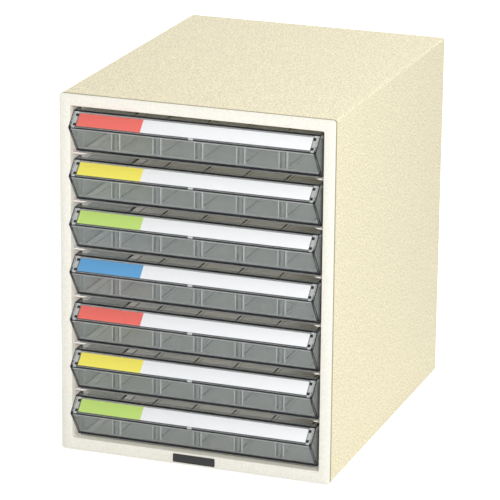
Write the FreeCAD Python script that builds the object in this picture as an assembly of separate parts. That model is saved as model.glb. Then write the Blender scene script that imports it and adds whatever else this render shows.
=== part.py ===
import FreeCAD, Part
import math
import os

from FreeCAD import Vector

# A desk cabinet for A4 papers: a painted sheet-steel case with seven see-through drawers.
# Millimetres. +X is to the right, +Y to the back, +Z up. The origin is on the table, under the
# middle of the whole cabinet, drawer noses included.

# Driving dimensions of the case
case_width = 277.0
case_depth = 352.0
drawer_count = 7
drawer_pitch = 48.0
stile_width = 11.25
top_rail = 11.5
bottom_rail = 12.5
sheet = 1.0
case_corner = 3.0
bend_radius = 1.0
opening_corner = 1.5
frame_flange = 8.0
back_recess = 2.0
back_flange = 8.0
shell_foot_flange = 30.0
pan_flange = 8.0
assembly_gap = 0.3

# Rubber feet
foot_stand = 2.0
foot_width = 16.0
foot_corner_cut = 4.0
foot_inset = 30.0

# Bare plate on the bottom rail
plate_width = 43.0
plate_height = 8.4
plate_thickness = 1.0
plate_corner = 1.0

# Runner rails: folded angles that carry the drawers
rail_sheet = 1.2
rail_leg = 6.0
rail_overlap = 7.5
rail_lead_in = 5.0
rail_stop_height = 10.0
liner_clearance = 1.0

# Drawer trays, moulded in smoke polystyrene
side_gap = 3.25
slide_clearance = 0.3
wall = 2.0
floor_thickness = 2.0
tray_setback = 7.0
tray_top_clearance = 8.0
tray_corner = 5.0
tray_front_corner = 1.0
rim_reach = 1.5
rim_height = 2.0
travel = 265.0
stop_lug_reach = 8.0
stop_lug_nose = 3.0
stop_lug_length = 12.0
stop_lug_height = 10.0
stop_lug_lift = 4.0
stop_lug_gap = 0.5

# Divider slots: pairs of upright ribs with a groove across the floor between them
slot_count = 5
slot_pitch = 42.2
slot_gap = 4.2
slot_rib_width = 2.4
slot_rib_depth = 3.0
slot_rib_top_gap = 4.0
slot_groove_depth = 0.6

# Drawer fronts: a hollow nose with a card seat above and a recessed window below
front_top_clearance = 4.0
front_bottom_gap = 2.2
nose_reach = 13.0
nose_drop = 14.0
front_top_setback = 1.5
nose_radius = 1.2
cheek = 1.8
cheek_ear = 7.0
cheek_gap = 0.2
window_recess = 0.8
window_border_top = 2.6
window_border_bottom = 2.0
window_border_side = 2.2

# Title cards and their clear covers
card_thickness = 0.3
card_side_margin = 7.2
card_margin_low = 3.3
card_margin_high = 2.8
seat_depth = 1.0
seat_margin = 0.2
cover_thickness = 1.0
cover_side_margin = 6.2
cover_margin_low = 1.3
cover_margin_high = 1.8
hook_length = 2.2
hook_width = 2.4
hook_depth = 1.5
hook_inset = 3.2
hook_clearance = 0.25
centre_catch_width = 5.0
centre_catch_bite = 0.9
centre_catch_lip = 0.6

# Places worked out from the driving dimensions
opening_height = drawer_count * drawer_pitch
case_height = top_rail + opening_height + bottom_rail
face_y = nose_reach - (case_depth + nose_reach) / 2
case_z = foot_stand
half_case = case_width / 2
half_opening = half_case - stile_width
opening_low = case_z + bottom_rail
half_front = half_opening - side_gap
half_tray = half_front - cheek - cheek_gap
half_liner = half_tray + stop_lug_reach + liner_clearance
case_back_y = face_y + case_depth
liner_front_y = face_y + frame_flange + assembly_gap
liner_back_y = case_back_y - back_recess - back_flange - assembly_gap
rail_back_y = liner_back_y - assembly_gap
tray_front_y = face_y + tray_setback
tray_back_y = rail_back_y - rail_sheet - slide_clearance
front_top = drawer_pitch - front_top_clearance
tray_top = drawer_pitch - tray_top_clearance
tray_front_top = front_top - wall


def corner_arc(before, corner, after, radius):
    """The tangent points and the middle of a round corner between two straight runs."""
    to_before = (before - corner).normalize()
    to_after = (after - corner).normalize()
    half_angle = to_before.getAngle(to_after) / 2
    tangent = radius / math.tan(half_angle)
    start = corner + to_before * tangent
    end = corner + to_after * tangent
    bisector = (to_before + to_after).normalize()
    middle = corner + bisector * (radius / math.sin(half_angle) - radius)
    return start, middle, end


def outline(corners, plane):
    """A flat face whose outline runs through corners (u, v, radius) in the XZ, YZ or XY plane."""
    if plane == "XZ":
        points = [Vector(u, 0, v) for u, v, radius in corners]
    elif plane == "YZ":
        points = [Vector(0, u, v) for u, v, radius in corners]
    else:
        points = [Vector(u, v, 0) for u, v, radius in corners]
    ends = []
    edges = []
    count = len(corners)
    for index in range(count):
        radius = corners[index][2]
        corner = points[index]
        if radius > 0:
            start, middle, end = corner_arc(points[index - 1], corner, points[(index + 1) % count], radius)
            edges.append(Part.Arc(start, middle, end).toShape())
            ends.append((start, end))
        else:
            edges.append(None)
            ends.append((corner, corner))
    loop = []
    for index in range(count):
        if edges[index] is not None:
            loop.append(edges[index])
        line_start = ends[index][1]
        line_end = ends[(index + 1) % count][0]
        loop.append(Part.LineSegment(line_start, line_end).toShape())
    return Part.Face(Part.Wire(loop))


def along_x(corners, x_low, x_high):
    """A bar with its section in the YZ plane."""
    face = outline(corners, "YZ")
    face.translate(Vector(x_low, 0, 0))
    return face.extrude(Vector(x_high - x_low, 0, 0))


def along_y(corners, y_low, y_high):
    """A bar with its section in the XZ plane."""
    face = outline(corners, "XZ")
    face.translate(Vector(0, y_low, 0))
    return face.extrude(Vector(0, y_high - y_low, 0))


def along_z(corners, z_low, z_high):
    """A bar with its section in the XY plane."""
    face = outline(corners, "XY")
    face.translate(Vector(0, 0, z_low))
    return face.extrude(Vector(0, 0, z_high - z_low))


def box(x_low, x_high, y_low, y_high, z_low, z_high):
    """A plain block between two corners."""
    corner = Vector(x_low, y_low, z_low)
    return Part.makeBox(x_high - x_low, y_high - y_low, z_high - z_low, corner)


def rectangle(u_low, u_high, v_low, v_high, radius):
    """The corners of a rounded rectangle."""
    return [
        (u_low, v_low, radius),
        (u_high, v_low, radius),
        (u_high, v_high, radius),
        (u_low, v_high, radius),
    ]


def folded(path, thickness, inside_radius):
    """The section of a folded sheet whose right-hand face follows the path (u, v)."""
    points = [Vector(u, v, 0) for u, v in path]
    count = len(points)
    directions = [(points[i + 1] - points[i]).normalize() for i in range(count - 1)]
    normals = [Vector(-d.y, d.x, 0) for d in directions]
    right = []
    left = []
    for index in range(count):
        if index == 0:
            offset = normals[0] * thickness
            radii = (0, 0)
        elif index == count - 1:
            offset = normals[-1] * thickness
            radii = (0, 0)
        else:
            miter = normals[index - 1] + normals[index]
            offset = miter * (2 * thickness / miter.dot(miter))
            turn = directions[index - 1].cross(directions[index]).z
            if turn > 0:
                radii = (inside_radius + thickness, inside_radius)
            else:
                radii = (inside_radius, inside_radius + thickness)
        right.append((points[index].x, points[index].y, radii[0]))
        shifted = points[index] + offset
        left.append((shifted.x, shifted.y, radii[1]))
    return right + left[::-1]


def mirrored(shape):
    """The same piece for the other side of the cabinet."""
    return shape.mirror(Vector(0, 0, 0), Vector(1, 0, 0))


def save(node, shape):
    """Write one sub-part."""
    shape.exportStep("parts/" + node + ".step")


def bay_floor(number):
    """The height of the rail that carries a drawer, counted from the top drawer, number 1."""
    return opening_low + (drawer_count - number) * drawer_pitch


def make_outer_shell():
    """Top and both sides in one bent sheet, turned in under the cabinet as two long flanges."""
    y_low = face_y + sheet
    top = case_z + case_height
    outer = rectangle(-half_case, half_case, case_z, top, case_corner)
    inner_half = half_case - sheet
    inner = rectangle(-inner_half, inner_half, case_z + sheet, top - sheet, case_corner - sheet)
    shell = along_y(outer, y_low, case_back_y).cut(along_y(inner, y_low, case_back_y))
    flange_edge = half_case - shell_foot_flange
    gap = box(-flange_edge, flange_edge, y_low, case_back_y, case_z, case_z + sheet)
    return shell.cut(gap)


def make_front_frame():
    """The face of the case: a plate with a flange round its opening and a weld flange behind."""
    top = case_z + case_height
    flange_back = face_y + frame_flange
    plate = along_y(rectangle(-half_case, half_case, case_z, top, case_corner), face_y, face_y + sheet)
    opening_top = opening_low + opening_height
    opening = rectangle(-half_opening, half_opening, opening_low, opening_top, opening_corner)
    lining = rectangle(
        -half_opening - sheet,
        half_opening + sheet,
        opening_low - sheet,
        opening_top + sheet,
        opening_corner + sheet,
    )
    inner_half = half_case - sheet
    weld_outer = rectangle(-inner_half, inner_half, case_z + sheet, top - sheet, case_corner)
    weld_inner = rectangle(
        -inner_half + sheet,
        inner_half - sheet,
        case_z + 2 * sheet,
        top - 2 * sheet,
        case_corner - sheet,
    )
    weld_flange = along_y(weld_outer, face_y + sheet, flange_back).cut(
        along_y(weld_inner, face_y + sheet, flange_back)
    )
    frame = plate.fuse(along_y(lining, face_y + sheet, flange_back))
    frame = frame.fuse(weld_flange)
    frame = frame.cut(along_y(opening, face_y, flange_back))
    return frame.removeSplitter()


def make_bottom_panel():
    """The floor of the case, a sheet with its front and back edges turned up."""
    low = case_z + sheet
    path = [
        (liner_front_y, low + pan_flange),
        (liner_front_y, low),
        (liner_back_y, low),
        (liner_back_y, low + pan_flange),
    ]
    half_width = half_liner - rail_sheet - assembly_gap
    return along_x(folded(path, sheet, bend_radius), -half_width, half_width)


def make_back_panel():
    """A shallow pan set into the back of the shell, with its flange turned forwards."""
    inner_half = half_case - sheet
    low = case_z + sheet
    top = case_z + case_height - sheet
    back = case_back_y - back_recess
    front = back - back_flange
    outer = along_y(rectangle(-inner_half, inner_half, low, top, case_corner), front, back)
    hollow = rectangle(
        -inner_half + sheet,
        inner_half - sheet,
        low + sheet,
        top - sheet,
        case_corner - sheet,
    )
    return outer.cut(along_y(hollow, front, back - sheet))


def make_side_liner():
    """The right-hand liner: a channel between floor and top that the rails are welded to."""
    low = case_z + sheet
    top = case_z + case_height - sheet
    reach = half_case - case_corner
    path = [
        (reach, low),
        (half_liner, low),
        (half_liner, top),
        (reach, top),
    ]
    section = folded(path[::-1], sheet, bend_radius)
    return along_y(section, liner_front_y, liner_back_y)


def make_rail(number):
    """A right-hand rail: an angle with a rounded lead-in and an upturned stop at the back."""
    top = bay_floor(number)
    inner_edge = half_tray - rail_overlap
    path = [
        (half_liner, top - rail_sheet - rail_leg),
        (half_liner, top),
        (inner_edge, top),
    ]
    section = folded(path, rail_sheet, bend_radius)
    rail = along_y(section, liner_front_y, rail_back_y)
    lead_in = [
        (inner_edge - rail_sheet, liner_front_y - rail_sheet, 0),
        (inner_edge + rail_lead_in, liner_front_y - rail_sheet, 0),
        (inner_edge + rail_lead_in, liner_front_y, 0),
        (inner_edge, liner_front_y + rail_lead_in, 0),
        (inner_edge - rail_sheet, liner_front_y + rail_lead_in, 0),
    ]
    rail = rail.cut(along_z(lead_in, top - rail_sheet, top))
    stop = box(inner_edge, half_tray, rail_back_y - rail_sheet, rail_back_y, top, top + rail_stop_height)
    return rail.fuse(stop).removeSplitter()


def make_foot(side, y):
    """A square rubber pad with its corners cut off, stuck under one corner of the cabinet."""
    x = side * (half_case - shell_foot_flange / 2)
    half = foot_width / 2
    corners = [
        (x - half + foot_corner_cut, y - half, 0),
        (x + half - foot_corner_cut, y - half, 0),
        (x + half, y - half + foot_corner_cut, 0),
        (x + half, y + half - foot_corner_cut, 0),
        (x + half - foot_corner_cut, y + half, 0),
        (x - half + foot_corner_cut, y + half, 0),
        (x - half, y + half - foot_corner_cut, 0),
        (x - half, y - half + foot_corner_cut, 0),
    ]
    return along_z(corners, 0, foot_stand)


def make_name_plate():
    """The small plate on the bottom rail, left bare."""
    middle = case_z + bottom_rail / 2
    corners = rectangle(
        -plate_width / 2,
        plate_width / 2,
        middle - plate_height / 2,
        middle + plate_height / 2,
        plate_corner,
    )
    return along_y(corners, face_y - plate_thickness, face_y)


def slot_places():
    """The middles of the divider slots across a tray."""
    first = -slot_pitch * (slot_count - 1) / 2
    return [first + slot_pitch * index for index in range(slot_count)]


def make_tray(number):
    """A moulded tray with divider slots, a rolled rim and a stop lug on each side."""
    low = bay_floor(number) + slide_clearance
    top = bay_floor(number) + tray_top
    front_top_z = bay_floor(number) + tray_front_top
    outer_corners = [
        (-half_tray, tray_front_y, tray_front_corner),
        (half_tray, tray_front_y, tray_front_corner),
        (half_tray, tray_back_y, tray_corner),
        (-half_tray, tray_back_y, tray_corner),
    ]
    block = along_z(outer_corners, low, front_top_z)
    inner_half = half_tray - wall
    inner_corners = rectangle(
        -inner_half,
        inner_half,
        tray_front_y + wall,
        tray_back_y - wall,
        tray_corner - wall,
    )
    cavity_floor = low + floor_thickness
    cavity = along_z(inner_corners, cavity_floor, front_top_z)
    low_sides = box(
        -half_tray,
        half_tray,
        tray_front_y + wall,
        tray_back_y,
        top,
        front_top_z,
    )
    tray = block.cut(cavity).cut(low_sides)
    return tray.fuse(tray_additions(number)).cut(slot_grooves(cavity_floor)).removeSplitter()


def tray_additions(number):
    """Rim, divider ribs and stop lugs of a tray."""
    low = bay_floor(number) + slide_clearance
    top = bay_floor(number) + tray_top
    rim_front = tray_front_y + cheek_ear + rim_reach
    rim_outer = [
        (-half_tray - rim_reach, rim_front, 0),
        (half_tray + rim_reach, rim_front, 0),
        (half_tray + rim_reach, tray_back_y - rim_reach, tray_corner),
        (-half_tray - rim_reach, tray_back_y - rim_reach, tray_corner),
    ]
    rim_inner = [
        (-half_tray + wall / 2, rim_front, 0),
        (half_tray - wall / 2, rim_front, 0),
        (half_tray - wall / 2, tray_back_y - wall, tray_corner),
        (-half_tray + wall / 2, tray_back_y - wall, tray_corner),
    ]
    rim = along_z(rim_outer, top - rim_height, top)
    rim = rim.cut(along_z(rim_inner, top - rim_height, top))
    pieces = [rim]
    rib_top = top - slot_rib_top_gap
    for middle in slot_places():
        for side in (-1, 1):
            centre = middle + side * (slot_gap + slot_rib_width) / 2
            x_low = centre - slot_rib_width / 2
            x_high = centre + slot_rib_width / 2
            front_wall = tray_front_y + wall / 2
            front_rib = tray_front_y + wall + slot_rib_depth
            back_rib = tray_back_y - wall - slot_rib_depth
            back_wall = tray_back_y - wall / 2
            foot = low + floor_thickness / 2
            pieces.append(box(x_low, x_high, front_wall, front_rib, foot, rib_top))
            pieces.append(box(x_low, x_high, back_rib, back_wall, foot, rib_top))
    lug_front = face_y + frame_flange + travel + stop_lug_gap
    lug = [
        (half_tray - wall / 2, lug_front, 0),
        (half_tray + stop_lug_reach, lug_front, 0),
        (half_tray + stop_lug_reach, lug_front + stop_lug_nose, 0),
        (half_tray, lug_front + stop_lug_length, 0),
        (half_tray - wall / 2, lug_front + stop_lug_length, 0),
    ]
    right_lug = along_z(lug, low + stop_lug_lift, low + stop_lug_lift + stop_lug_height)
    pieces.append(right_lug)
    pieces.append(mirrored(right_lug))
    return pieces


def slot_grooves(cavity_floor):
    """Shallow grooves across the tray floor that a divider's lower edge stands in."""
    grooves = []
    for middle in slot_places():
        grooves.append(box(
            middle - slot_gap / 2,
            middle + slot_gap / 2,
            tray_front_y + wall + slot_rib_depth,
            tray_back_y - wall - slot_rib_depth,
            cavity_floor - slot_groove_depth,
            cavity_floor + slot_groove_depth,
        ))
    return grooves


# The slanted faces of a drawer front, as points and directions in the YZ plane, heights from the rail
nose = Vector(face_y - nose_reach, front_top - nose_drop, 0)
brow = Vector(face_y + front_top_setback, front_top, 0)
chin = Vector(tray_front_y, front_bottom_gap, 0)
seat_direction = (brow - nose).normalize()
seat_outward = Vector(-seat_direction.y, seat_direction.x, 0)
seat_length = (brow - nose).Length
window_direction = (chin - nose).normalize()
window_outward = Vector(window_direction.y, -window_direction.x, 0)
window_length = (chin - nose).Length


def slanted(origin, direction, outward, start, end, low, high, floor):
    """A rectangle (u, v, 0) laid along a slanted face, between two depths along its outward normal."""
    corners = []
    for distance, depth in ((start, low), (end, low), (end, high), (start, high)):
        point = origin + direction * distance + outward * depth
        corners.append((point.x, point.y + floor, 0))
    return corners


def on_seat(start, end, low, high, floor):
    """A slanted rectangle on the card seat, measured up from the nose."""
    return slanted(nose, seat_direction, seat_outward, start, end, low, high, floor)


def on_window(start, end, low, high, floor):
    """A slanted rectangle on the window, measured down from the nose."""
    return slanted(nose, window_direction, window_outward, start, end, low, high, floor)


def hook_places():
    """Where the cover's hooks lie along the slanted seat."""
    first = cover_margin_low + hook_inset
    last = seat_length - cover_margin_high - hook_inset
    return (first, last)


def make_drawer_front(number):
    """The hollow nose of a drawer: a card seat, a window and a cheek at each end."""
    floor = bay_floor(number)
    beyond_chin = chin + window_direction * (2 * wall)
    path = [
        (tray_front_y + wall, floor + front_top),
        (brow.x, floor + brow.y),
        (nose.x, floor + nose.y),
        (beyond_chin.x, floor + beyond_chin.y),
    ]
    skin = along_x(folded(path, wall, nose_radius), -half_front, half_front)
    behind = box(
        -half_front,
        half_front,
        tray_front_y,
        tray_front_y + 2 * wall,
        floor - 2 * wall,
        floor + tray_front_top,
    )
    skin = skin.cut(behind)
    cheek_corners = [
        (tray_front_y + cheek_ear, floor + front_top, 0),
        (brow.x, floor + brow.y, 0),
        (nose.x, floor + nose.y, nose_radius),
        (chin.x, floor + chin.y, 0),
        (tray_front_y + cheek_ear, floor + chin.y, 0),
    ]
    right_cheek = along_x(cheek_corners, half_front - cheek, half_front)
    front = skin.fuse([right_cheek, mirrored(right_cheek)])
    return front.cut(front_recesses(floor)).fuse(centre_catch(floor)).removeSplitter()


def front_recesses(floor):
    """The window field, the card seat and the cover's hook slots, as blocks to take away."""
    window_half = half_front - window_border_side
    window = along_x(
        on_window(
            window_border_top,
            window_length - window_border_bottom,
            -window_recess,
            window_recess,
            floor,
        ),
        -window_half,
        window_half,
    )
    seat_half = half_front - cover_side_margin + seat_margin
    seat = along_x(
        on_seat(
            cover_margin_low - seat_margin,
            seat_length - cover_margin_high + seat_margin,
            -seat_depth,
            seat_depth,
            floor,
        ),
        -seat_half,
        seat_half,
    )
    recesses = [window, seat]
    slot_end = half_front - cover_side_margin + hook_length + hook_clearance
    for place in hook_places():
        reach = hook_width / 2 + hook_clearance
        slot = along_x(
            on_seat(place - reach, place + reach, -2 * wall, wall, floor),
            half_front - cover_side_margin,
            slot_end,
        )
        recesses.append(slot)
        recesses.append(mirrored(slot))
    return recesses


def centre_catch(floor):
    """The small catch on the nose that holds the lower edge of the card cover."""
    cover_face = cover_thickness + card_thickness - seat_depth
    post = along_x(
        on_seat(
            cover_margin_low - seat_margin - centre_catch_lip,
            cover_margin_low - seat_margin,
            -seat_depth,
            cover_face + centre_catch_lip,
            floor,
        ),
        -centre_catch_width / 2,
        centre_catch_width / 2,
    )
    lip = along_x(
        on_seat(
            cover_margin_low - seat_margin - centre_catch_lip,
            cover_margin_low + centre_catch_bite,
            cover_face,
            cover_face + centre_catch_lip,
            floor,
        ),
        -centre_catch_width / 2,
        centre_catch_width / 2,
    )
    return [post, lip]


def make_title_card(number):
    """A paper strip that lies in the seat under the cover."""
    half_card = half_front - card_side_margin
    corners = on_seat(
        card_margin_low,
        seat_length - card_margin_high,
        -seat_depth,
        card_thickness - seat_depth,
        bay_floor(number),
    )
    return along_x(corners, -half_card, half_card)


def make_card_cover(number):
    """A clear strip over the card, held by two hooks at each end."""
    floor = bay_floor(number)
    half_cover = half_front - cover_side_margin
    low = card_thickness - seat_depth
    strip = along_x(
        on_seat(cover_margin_low, seat_length - cover_margin_high, low, low + cover_thickness, floor),
        -half_cover,
        half_cover,
    )
    hooks = []
    for place in hook_places():
        hook = along_x(
            on_seat(
                place - hook_width / 2,
                place + hook_width / 2,
                low + cover_thickness - hook_depth,
                low + cover_thickness,
                floor,
            ),
            half_cover,
            half_cover + hook_length,
        )
        hooks.append(hook)
        hooks.append(mirrored(hook))
    return strip.fuse(hooks).removeSplitter()


os.makedirs("parts", exist_ok=True)

save("outer_shell", make_outer_shell())
save("front_frame", make_front_frame())
save("bottom_panel", make_bottom_panel())
save("back_panel", make_back_panel())
right_liner = make_side_liner()
save("right_liner", right_liner)
save("left_liner", mirrored(right_liner))
save("name_plate", make_name_plate())

front_foot_y = face_y + foot_inset
back_foot_y = case_back_y - foot_inset
save("front_left_foot", make_foot(-1, front_foot_y))
save("front_right_foot", make_foot(1, front_foot_y))
save("back_left_foot", make_foot(-1, back_foot_y))
save("back_right_foot", make_foot(1, back_foot_y))

for number in range(1, drawer_count + 1):
    right_rail = make_rail(number)
    save("right_rail_%d" % number, right_rail)
    save("left_rail_%d" % number, mirrored(right_rail))
    save("tray_%d" % number, make_tray(number))
    save("drawer_front_%d" % number, make_drawer_front(number))
    save("title_card_%d" % number, make_title_card(number))
    save("card_cover_%d" % number, make_card_cover(number))
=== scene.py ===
import math

import bmesh
import bpy
import numpy as np
from mathutils import Matrix, Vector


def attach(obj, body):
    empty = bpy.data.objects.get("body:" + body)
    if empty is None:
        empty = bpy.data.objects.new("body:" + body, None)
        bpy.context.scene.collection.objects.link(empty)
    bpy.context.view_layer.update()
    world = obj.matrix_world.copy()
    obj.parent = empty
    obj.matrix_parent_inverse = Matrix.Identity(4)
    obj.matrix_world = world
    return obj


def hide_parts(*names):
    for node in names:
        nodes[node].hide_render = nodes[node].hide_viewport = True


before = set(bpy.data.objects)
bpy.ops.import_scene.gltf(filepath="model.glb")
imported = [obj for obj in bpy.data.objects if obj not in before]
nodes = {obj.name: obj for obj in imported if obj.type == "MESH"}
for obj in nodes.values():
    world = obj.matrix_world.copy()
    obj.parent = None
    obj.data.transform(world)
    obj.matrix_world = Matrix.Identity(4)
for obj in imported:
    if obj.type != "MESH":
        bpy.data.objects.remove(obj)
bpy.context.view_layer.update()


# The photographer's place: a long lens, in front of the cabinet and to its right, looking down a little.
# The picture is square, and the camera leans over by half a degree.

def look_direction(azimuth, elevation):
    """The unit vector from the cabinet to the camera: azimuth turns from the front to the right."""
    flat = math.cos(elevation)
    return Vector((math.sin(azimuth) * flat, -math.cos(azimuth) * flat, math.sin(elevation)))


camera_place = Vector((1.01512, -2.84912, 1.11990))
camera_azimuth = math.radians(19.701)
camera_elevation = math.radians(17.401)
camera_roll = math.radians(0.57)
camera_focal = 227.996
camera_film = 36.0
backward = look_direction(camera_azimuth, camera_elevation)
level_right = Vector((0, 0, 1)).cross(backward).normalized()
level_up = backward.cross(level_right)
right = level_right * math.cos(camera_roll) + level_up * math.sin(camera_roll)
up = level_up * math.cos(camera_roll) - level_right * math.sin(camera_roll)
camera_data = bpy.data.cameras.new("camera")
camera_data.lens = camera_focal
camera_data.sensor_width = camera_film
camera_data.sensor_fit = "HORIZONTAL"
camera_data.clip_end = 50
camera = bpy.data.objects.new("camera", camera_data)
camera.matrix_world = Matrix((
    (right.x, up.x, backward.x, camera_place.x),
    (right.y, up.y, backward.y, camera_place.y),
    (right.z, up.z, backward.z, camera_place.z),
    (0, 0, 0, 1),
))
bpy.context.scene.collection.objects.link(camera)
bpy.context.scene.camera = camera
bpy.context.scene.view_settings.view_transform = "Standard"


# The studio: a white room all round, one large soft lamp beside the photographer, a faint one for the
# cabinet's side and one behind it for its top. The cabinet stands on white paper that keeps its shadow.

def soft_lamp(name, place, target, size, power):
    """A square area lamp at place, facing target."""
    data = bpy.data.lights.new(name, "AREA")
    data.shape = "SQUARE"
    data.size = size
    data.energy = power
    lamp = bpy.data.objects.new(name, data)
    lamp.location = place
    lamp.rotation_euler = (Vector(target) - Vector(place)).to_track_quat("-Z", "Y").to_euler()
    bpy.context.scene.collection.objects.link(lamp)
    return lamp


soft_lamp("key_lamp", place=(2.08, -3.79, 1.86), target=(0, -0.17, 0.18), size=0.9, power=146)
soft_lamp("side_lamp", place=(2.6, 0.45, 0.9), target=(0.138, 0, 0.18), size=1.2, power=5)
soft_lamp("top_lamp", place=(0.2, 1.3, 2.3), target=(0, 0, 0.36), size=1.2, power=31)


def calculated(tree, operation, *values):
    """The result of a math node. Each value is a number for its input, or an output to link to it."""
    node = tree.nodes.new("ShaderNodeMath")
    node.operation = operation
    for index, value in enumerate(values):
        if isinstance(value, bpy.types.NodeSocket):
            tree.links.new(value, node.inputs[index])
        else:
            node.inputs[index].default_value = value
    return node.outputs[0]


def seen_directly(tree):
    """One for rays from the camera and for mirror or glass rays, nothing for the light on the object."""
    path = tree.nodes.new("ShaderNodeLightPath").outputs
    mirror = calculated(tree, "MAXIMUM", path["Is Camera Ray"], path["Is Glossy Ray"])
    return calculated(tree, "MAXIMUM", mirror, path["Is Transmission Ray"])


room_light = 0.24
room_seen = 1.0
world = bpy.data.worlds.new("studio")
bpy.context.scene.world = world
world.use_nodes = True
tree = world.node_tree
tree.nodes.clear()
choice = tree.nodes.new("ShaderNodeMixShader")
tree.links.new(seen_directly(tree), choice.inputs["Fac"])
for index, strength in ((1, room_light), (2, room_seen)):
    room = tree.nodes.new("ShaderNodeBackground")
    room.inputs["Color"].default_value = (1, 1, 1, 1)
    room.inputs["Strength"].default_value = strength
    tree.links.new(room.outputs[0], choice.inputs[index])
world_out = tree.nodes.new("ShaderNodeOutputWorld")
tree.links.new(choice.outputs[0], world_out.inputs["Surface"])

floor_half = 6.0
floor_glow = 0.76
floor_corners = [(x * floor_half, y * floor_half, 0) for x, y in ((-1, -1), (1, -1), (1, 1), (-1, 1))]
floor_mesh = bpy.data.meshes.new("floor")
floor_mesh.from_pydata(floor_corners, [], [(0, 1, 2, 3)])
floor = bpy.data.objects.new("floor", floor_mesh)
bpy.context.scene.collection.objects.link(floor)
floor_paper = bpy.data.materials.new("floor_paper")
floor_paper.use_nodes = True
tree = floor_paper.node_tree
paper = tree.nodes["Principled BSDF"]
paper.inputs["Base Color"].default_value = (0.9, 0.9, 0.9, 1)
paper.inputs["Roughness"].default_value = 0.9
paper.inputs["Specular IOR Level"].default_value = 0.0
paper.inputs["Emission Color"].default_value = (1, 1, 1, 1)
glow = calculated(tree, "MULTIPLY", seen_directly(tree), floor_glow)
tree.links.new(glow, paper.inputs["Emission Strength"])
floor_mesh.materials.append(floor_paper)


# The painted steel of the case: sheets of one millimetre, folded and spot-welded, under a baked ivory
# enamel. The enamel is textured: a sandy grain of a millimetre or two, with a few darker specks.

def object_place(tree):
    """Object coordinates, which are metres here."""
    return tree.nodes.new("ShaderNodeTexCoord").outputs["Object"]


def ranged(tree, value, from_low, from_high, to_low=0, to_high=1):
    """A value carried over from one range to another and kept inside it."""
    node = tree.nodes.new("ShaderNodeMapRange")
    tree.links.new(value, node.inputs["Value"])
    ends = (("From Min", from_low), ("From Max", from_high), ("To Min", to_low), ("To Max", to_high))
    for label, end in ends:
        node.inputs[label].default_value = end
    return node.outputs[0]


def mixed(tree, kind, share, first, second):
    """The mix of two colours or two numbers, by the share of the second."""
    node = tree.nodes.new("ShaderNodeMix")
    node.data_type = kind
    for label, source in (("Factor", share), ("A", first), ("B", second)):
        tree.links.new(source, node.inputs[label])
    return node.outputs["Result"]


def node_group(name, inputs, outputs):
    """An empty node group with named sockets, and the sockets' ends inside it."""
    group = bpy.data.node_groups.new(name, "ShaderNodeTree")
    for sockets, direction in ((inputs, "INPUT"), (outputs, "OUTPUT")):
        for label, kind in sockets.items():
            group.interface.new_socket(label, in_out=direction, socket_type="NodeSocket" + kind)
    entry = group.nodes.new("NodeGroupInput")
    leave = group.nodes.new("NodeGroupOutput")
    return group, entry.outputs, leave.inputs


def build_grain_group():
    """Fine grain for paint, card and rubber: a colour that varies round a base colour, and a height.

    The colour is the base colour times one plus the noise's distance from its mean times the variation,
    with specks of a second colour where a cell noise is near its cell's middle.
    """
    group, entry, leave = node_group(
        "fine_grain",
        {"Vector": "Vector", "Base": "Color", "Speck": "Color", "Scale": "Float", "Variation": "Float",
         "Specks": "Float"},
        {"Color": "Color", "Height": "Float"},
    )
    noise = group.nodes.new("ShaderNodeTexNoise")
    noise.inputs["Detail"].default_value = 3
    noise.inputs["Roughness"].default_value = 0.65
    cells = group.nodes.new("ShaderNodeTexVoronoi")
    cell_scale = calculated(group, "MULTIPLY", entry["Scale"], 0.35)
    for texture, scale in ((noise, entry["Scale"]), (cells, cell_scale)):
        group.links.new(entry["Vector"], texture.inputs["Vector"])
        group.links.new(scale, texture.inputs["Scale"])
    shade = ranged(group, noise.outputs["Fac"], 0.3, 0.7, -1, 1)
    amount = calculated(group, "MULTIPLY_ADD", shade, entry["Variation"], 1)
    shaded = group.nodes.new("ShaderNodeVectorMath")
    shaded.operation = "SCALE"
    group.links.new(entry["Base"], shaded.inputs[0])
    group.links.new(amount, shaded.inputs["Scale"])
    speck = ranged(group, cells.outputs["Distance"], 0.28, 0.12)
    share = calculated(group, "MULTIPLY", speck, entry["Specks"])
    colour = mixed(group, "RGBA", share, shaded.outputs[0], entry["Speck"])
    group.links.new(colour, leave["Color"])
    group.links.new(noise.outputs["Fac"], leave["Height"])
    return group


fine_grain = build_grain_group()


def grained(name, colour, speck, scale, variation, specks, bump, roughness, gloss=0.35):
    """An opaque finish with the fine grain in its colour and its relief."""
    material = bpy.data.materials.new(name)
    material.use_nodes = True
    tree = material.node_tree
    finish = tree.nodes["Principled BSDF"]
    finish.inputs["Roughness"].default_value = roughness
    finish.inputs["Specular IOR Level"].default_value = gloss
    grain = tree.nodes.new("ShaderNodeGroup")
    grain.node_tree = fine_grain
    tree.links.new(object_place(tree), grain.inputs["Vector"])
    grain.inputs["Base"].default_value = colour + (1,)
    grain.inputs["Speck"].default_value = speck + (1,)
    for label, value in (("Scale", scale), ("Variation", variation), ("Specks", specks)):
        grain.inputs[label].default_value = value
    tree.links.new(grain.outputs["Color"], finish.inputs["Base Color"])
    relief = tree.nodes.new("ShaderNodeBump")
    relief.inputs["Strength"].default_value = bump
    relief.inputs["Distance"].default_value = 0.0002
    tree.links.new(grain.outputs["Height"], relief.inputs["Height"])
    tree.links.new(relief.outputs["Normal"], finish.inputs["Normal"])
    return material


# Painted light: the liners and rails get a lighter, less yellow copy of the shell's ivory, which brightens
# the dim inside of the case.
inner_enamel_painted_lighter = grained(
    "inner_enamel_painted_lighter", colour=(0.9, 0.86, 0.83), speck=(0.76, 0.72, 0.66), scale=600, variation=0.1,
    specks=0.15, bump=0.5, roughness=0.55
)
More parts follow.
